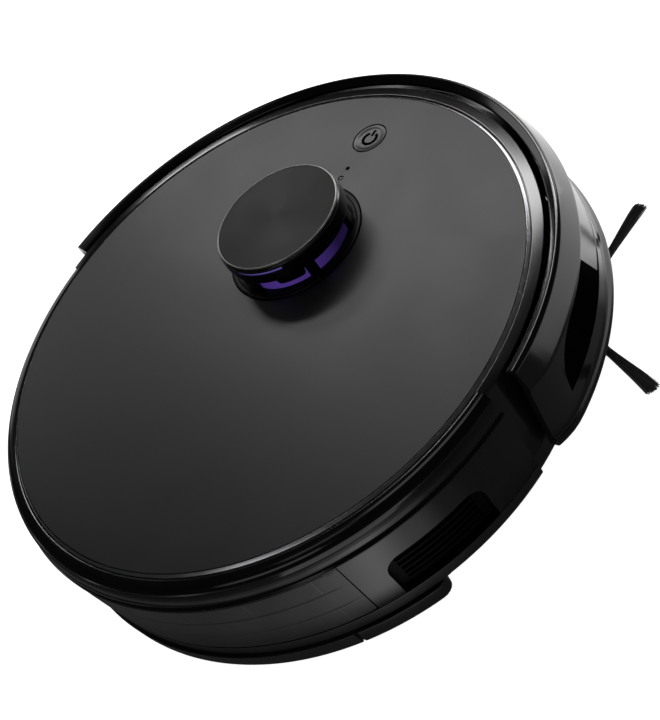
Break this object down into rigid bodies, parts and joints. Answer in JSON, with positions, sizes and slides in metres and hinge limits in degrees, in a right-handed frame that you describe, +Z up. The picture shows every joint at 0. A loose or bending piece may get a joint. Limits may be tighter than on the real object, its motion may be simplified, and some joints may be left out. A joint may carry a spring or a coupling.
{
  "type": "robot vacuum",
  "caption": "Round robot vacuum with a laser turret, sprung front bumper, side brush, main brush, rear dustbin with water tank and a clip-on mop plate.",
  "frame": {"origin": "on the floor, below the middle of the whole robot's outline with its side brush", "axes": "+Z up, the bumper faces -Y, the robot's right side is -X"},
  "size_m": [0.3698, 0.3554, 0.1018],
  "materials": {
    "top_matte": "fine matte, near black",
    "body_gloss": "polished black",
    "pan_satin": "satin, very dark grey",
    "tank_satin": "satin, dark grey with a green cast",
    "trim_metal": "bright thin edge",
    "turret_purple": "purple, glowing under a smoked skin",
    "sensor_window": "black infrared window",
    "tyre_rubber": "moulded rubber tread",
    "belt_rubber": "smooth rubber",
    "inner_plastic": "moulded grey plastic",
    "bin_smoke": "smoked plastic",
    "brush_bristle": "black nylon bristles and soft blades",
    "steel": "plain steel",
    "contact_metal": "plated charging contact",
    "board_green": "printed circuit board",
    "mop_fabric": "short microfibre pile",
    "filter_paper": "pleated paper"
  },
  "bodies": {
    "root": {"top_plate": "top_matte", "lidar_cap": "top_matte", "side_shell": "body_gloss", "lidar_guard": "body_gloss", "exhaust_grille_left": "body_gloss", "exhaust_grille_right": "body_gloss", "base_pan": "pan_satin", "battery_cover": "pan_satin", "brush_guard": "pan_satin", "trim_ring": "trim_metal", "status_lamp": "sensor_window", "cliff_lens_1": "sensor_window", "cliff_lens_2": "sensor_window", "cliff_lens_3": "sensor_window", "cliff_lens_4": "sensor_window", "lidar_belt": "belt_rubber", "brush_housing": "inner_plastic", "brush_gearbox": "inner_plastic", "side_brush_gearbox": "inner_plastic", "fan_housing": "inner_plastic", "speaker": "inner_plastic", "battery_pack": "inner_plastic", "lidar_base": "inner_plastic", "bumper_switch_left": "inner_plastic", "bumper_switch_right": "inner_plastic", "suspension_pin_left": "steel", "suspension_pin_right": "steel", "lidar_motor": "steel", "brush_motor": "steel", "fan_motor": "steel", "charge_contact_left": "contact_metal", "charge_contact_right": "contact_metal", "main_pcb": "board_green"},
    "bumper": {"bumper_shell": "body_gloss", "bumper_window": "sensor_window"},
    "suspension_left": {"wheel_gearbox_left": "inner_plastic"},
    "suspension_right": {"wheel_gearbox_right": "inner_plastic"},
    "wheel_left": {"tyre_left": "tyre_rubber", "wheel_hub_left": "inner_plastic"},
    "wheel_right": {"tyre_right": "tyre_rubber", "wheel_hub_right": "inner_plastic"},
    "caster_fork": {"caster_fork": "inner_plastic", "caster_axle": "steel"},
    "caster_wheel": {"caster_wheel": "tyre_rubber"},
    "main_brush": {"brush_roller": "brush_bristle"},
    "side_brush": {"side_brush": "brush_bristle"},
    "fan_rotor": {"fan_impeller": "inner_plastic"},
    "lidar_rotor": {"lidar_head": "turret_purple", "lidar_lens": "sensor_window"},
    "lidar_pulley": {"lidar_pulley": "steel"},
    "dustbin": {"dustbin_body": "bin_smoke", "dustbin_lid": "pan_satin", "rear_cover": "tank_satin", "hepa_filter": "filter_paper"},
    "dustbin_release": {"dustbin_release": "pan_satin"},
    "mop": {"mop_plate": "tank_satin", "mop_pad": "mop_fabric"},
    "mop_latch_left": {"mop_latch_left": "body_gloss"},
    "mop_latch_right": {"mop_latch_right": "body_gloss"},
    "power_button": {"power_button": "top_matte"}
  },
  "joints": [
    {"name": "bumper_press", "type": "slide", "parent": "root", "child": "bumper", "axis": [0, 1, 0], "range_m": [0, 0.003], "stiffness_N_per_m": 300},
    {"name": "suspension_left", "type": "hinge", "parent": "root", "child": "suspension_left", "pos_m": [0.1165, -0.0271, 0.046], "axis": [-1, 0, 0], "range_deg": [0, 7], "stiffness_Nm_per_rad": 0.5, "springref_deg": 28.65},
    {"name": "suspension_right", "type": "hinge", "parent": "root", "child": "suspension_right", "pos_m": [-0.0995, -0.0271, 0.046], "axis": [-1, 0, 0], "range_deg": [0, 7], "stiffness_Nm_per_rad": 0.5, "springref_deg": 28.65},
    {"name": "wheel_left", "type": "hinge", "parent": "suspension_left", "child": "wheel_left", "pos_m": [0.1165, 0.0234, 0.034], "axis": [1, 0, 0], "continuous": true},
    {"name": "wheel_right", "type": "hinge", "parent": "suspension_right", "child": "wheel_right", "pos_m": [-0.0995, 0.0234, 0.034], "axis": [1, 0, 0], "continuous": true},
    {"name": "caster_swivel", "type": "hinge", "parent": "root", "child": "caster_fork", "pos_m": [0.0085, -0.1181, 0.03], "axis": [0, 0, 1], "continuous": true},
    {"name": "caster_roll", "type": "hinge", "parent": "caster_fork", "child": "caster_wheel", "pos_m": [0.0085, -0.1151, 0.011], "axis": [1, 0, 0], "continuous": true},
    {"name": "main_brush_spin", "type": "hinge", "parent": "root", "child": "main_brush", "pos_m": [0.0085, 0.0319, 0.021], "axis": [1, 0, 0], "continuous": true},
    {"name": "side_brush_spin", "type": "hinge", "parent": "root", "child": "side_brush", "pos_m": [-0.1155, -0.0793, 0.012], "axis": [0, 0, 1], "continuous": true},
    {"name": "fan_spin", "type": "hinge", "parent": "root", "child": "fan_rotor", "pos_m": [-0.0835, 0.0819, 0.042], "axis": [1, 0, 0], "continuous": true},
    {"name": "lidar_spin", "type": "hinge", "parent": "root", "child": "lidar_rotor", "pos_m": [0.0085, -0.0377, 0.085], "axis": [0, 0, 1], "continuous": true},
    {"name": "lidar_pulley_spin", "type": "hinge", "parent": "root", "child": "lidar_pulley", "pos_m": [0.0505, -0.0377, 0.075], "axis": [0, 0, 1], "continuous": true},
    {"name": "dustbin_slide", "type": "slide", "parent": "root", "child": "dustbin", "axis": [0, 1, 0], "range_m": [0, 0.12]},
    {"name": "dustbin_release_press", "type": "slide", "parent": "dustbin", "child": "dustbin_release", "axis": [0, -1, 0], "range_m": [0, 0.0015], "stiffness_N_per_m": 200},
    {"name": "mop_slide", "type": "slide", "parent": "root", "child": "mop", "axis": [0, 1, 0], "range_m": [0, 0.12]},
    {"name": "mop_latch_left_press", "type": "slide", "parent": "mop", "child": "mop_latch_left", "axis": [-1, 0, 0], "range_m": [0, 0.0016], "stiffness_N_per_m": 200},
    {"name": "mop_latch_right_press", "type": "slide", "parent": "mop", "child": "mop_latch_right", "axis": [1, 0, 0], "range_m": [0, 0.0016], "stiffness_N_per_m": 200},
    {"name": "power_button_press", "type": "slide", "parent": "root", "child": "power_button", "axis": [0, 0, -1], "range_m": [0, 0.0008], "stiffness_N_per_m": 400}
  ],
  "couplings": [
    {"joint": "lidar_pulley_spin", "follows": "lidar_spin", "ratio": 5}
  ]
}
